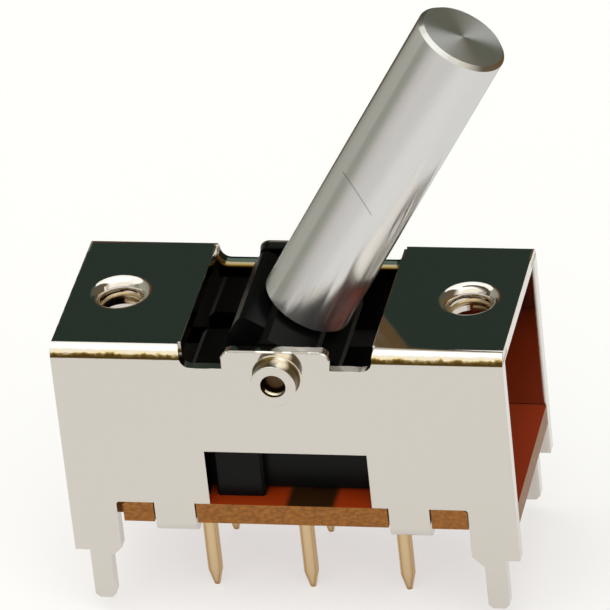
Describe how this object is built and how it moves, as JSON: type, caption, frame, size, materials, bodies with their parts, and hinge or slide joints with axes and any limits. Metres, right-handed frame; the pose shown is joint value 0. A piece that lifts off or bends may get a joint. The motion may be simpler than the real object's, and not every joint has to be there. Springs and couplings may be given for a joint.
{
  "type": "lever slide switch",
  "caption": "Two-position lever switch: folded steel frame with threaded mounting holes, tilting lever with a metal cap, slider and circuit-board pins.",
  "frame": {"origin": "centre of the flat mounting face on top of the frame, midway between the two screw holes", "axes": "+X along the frame from the left screw hole to the right one, +Y to the back, +Z out of the mounting face; at rest the lever leans to +X"},
  "size_m": [0.0325, 0.0174, 0.0448],
  "materials": {
    "nickel_steel": "bright nickel plate on pressed steel",
    "laminate": "brown paper laminate with sawn edges",
    "terminal_brass": "pale tinned brass",
    "pin_steel": "dull steel",
    "lever_plastic": "glossy black moulding",
    "cap_aluminium": "fine turned aluminium",
    "slider_plastic": "satin black moulding",
    "contact_brass": "silvered brass strip",
    "spring_steel": "drawn spring wire"
  },
  "bodies": {
    "frame": {"frame": "nickel_steel", "terminal_board": "laminate", "terminal_front_left": "terminal_brass", "terminal_front_centre": "terminal_brass", "terminal_front_right": "terminal_brass", "terminal_rear_left": "terminal_brass", "terminal_rear_centre": "terminal_brass", "terminal_rear_right": "terminal_brass", "pivot_pin": "pin_steel"},
    "lever": {"lever_body": "lever_plastic", "lever_cap": "cap_aluminium"},
    "slider": {"slider": "slider_plastic", "contact_bridge_front": "contact_brass", "contact_bridge_rear": "contact_brass", "contact_spring_front": "spring_steel", "contact_spring_rear": "spring_steel"}
  },
  "joints": [
    {"name": "lever_pivot", "type": "hinge", "parent": "frame", "child": "lever", "pos_m": [0, 0, -0.00205], "axis": [0, -1, 0], "range_deg": [0, 61.82]},
    {"name": "slider_travel", "type": "slide", "parent": "frame", "child": "slider", "axis": [1, 0, 0], "range_m": [0, 0.0075]}
  ],
  "couplings": [
    {"joint": "slider_travel", "follows": "lever_pivot", "m_per_rad": 0.006951}
  ]
}
